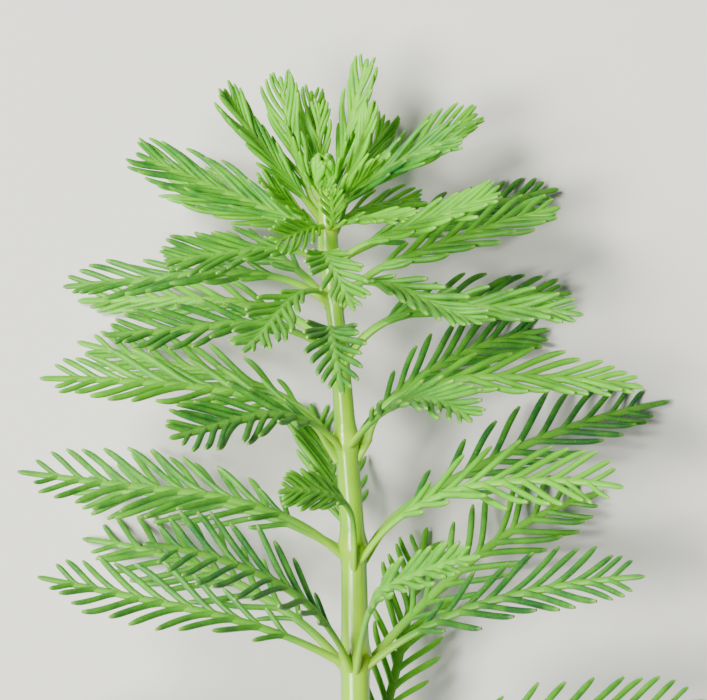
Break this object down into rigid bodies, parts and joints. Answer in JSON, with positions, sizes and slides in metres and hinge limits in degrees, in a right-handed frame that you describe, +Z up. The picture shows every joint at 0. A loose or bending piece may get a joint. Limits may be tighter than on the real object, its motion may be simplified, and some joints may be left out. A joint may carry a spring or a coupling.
{
  "type": "parrot feather shoot",
  "caption": "Leafy shoot of an aquarium plant, cut from the top and laid on its lower leaves: whorls of feather-shaped leaves with needle-like leaflets along a round stem.",
  "frame": {"origin": "on the surface that the shoot lies on, under the middle of its outer box", "axes": "+Y along the stem towards the growing tip, +Z up, +X to the right of the shoot seen from above"},
  "size_m": [0.07, 0.0802, 0.038],
  "materials": {
    "stem_skin": "smooth, glossy, yellow-green living stem",
    "leaf_skin": "soft, slightly waxy, mid-green living leaf with paler tips",
    "young_leaf_skin": "soft, slightly waxy, yellow-green young leaf"
  },
  "bodies": {
    "root": {"bud": "young_leaf_skin", "leaf_a_front_left": "leaf_skin", "leaf_a_front_right": "leaf_skin", "leaf_a_left": "leaf_skin", "leaf_a_left_back": "leaf_skin", "leaf_a_right": "leaf_skin", "leaf_a_right_back": "leaf_skin", "leaf_b_back": "leaf_skin", "leaf_b_front_left": "leaf_skin", "leaf_b_left": "leaf_skin", "leaf_b_left_back": "leaf_skin", "leaf_b_right": "leaf_skin", "leaf_b_right_back": "leaf_skin", "leaf_c_front_left": "leaf_skin", "leaf_c_front_right": "leaf_skin", "leaf_c_left": "leaf_skin", "leaf_c_left_back": "leaf_skin", "leaf_c_right": "leaf_skin", "leaf_c_right_back": "leaf_skin", "leaf_d_front": "leaf_skin", "leaf_d_left": "leaf_skin", "leaf_d_left_back": "leaf_skin", "leaf_d_right": "leaf_skin", "leaf_d_right_back": "leaf_skin", "leaf_e_front_left": "leaf_skin", "leaf_e_front_right": "leaf_skin", "leaf_e_left": "leaf_skin", "leaf_e_left_back": "leaf_skin", "leaf_e_right_back": "leaf_skin", "leaf_f_front": "leaf_skin", "leaf_f_left": "leaf_skin", "leaf_f_right": "leaf_skin", "leaf_f_right_back": "leaf_skin", "leaf_g_front_left": "young_leaf_skin", "leaf_g_front": "young_leaf_skin", "leaf_g_front_right": "young_leaf_skin", "leaf_g_left": "young_leaf_skin", "leaf_g_left_back": "young_leaf_skin", "leaf_g_right_back": "young_leaf_skin", "leaf_g_upper_left": "young_leaf_skin", "leaf_h_back": "young_leaf_skin", "leaf_h_front_right": "young_leaf_skin", "leaf_h_left": "young_leaf_skin", "leaf_h_right": "young_leaf_skin", "leaf_h_right_back": "young_leaf_skin", "leaf_i_back": "young_leaf_skin", "leaf_i_front_right": "young_leaf_skin", "leaf_i_left": "young_leaf_skin", "leaf_i_right": "young_leaf_skin", "leaf_i_top": "young_leaf_skin", "leaf_j_left": "young_leaf_skin", "leaf_j_right": "young_leaf_skin", "leaf_j_back": "young_leaf_skin", "leaf_z_back_left": "leaf_skin", "leaf_z_back_right": "leaf_skin", "leaf_z_front_left": "leaf_skin", "leaf_z_front_right": "leaf_skin", "leaf_z_left": "leaf_skin", "leaf_z_right": "leaf_skin", "stem": "stem_skin"}
  },
  "joints": []
}
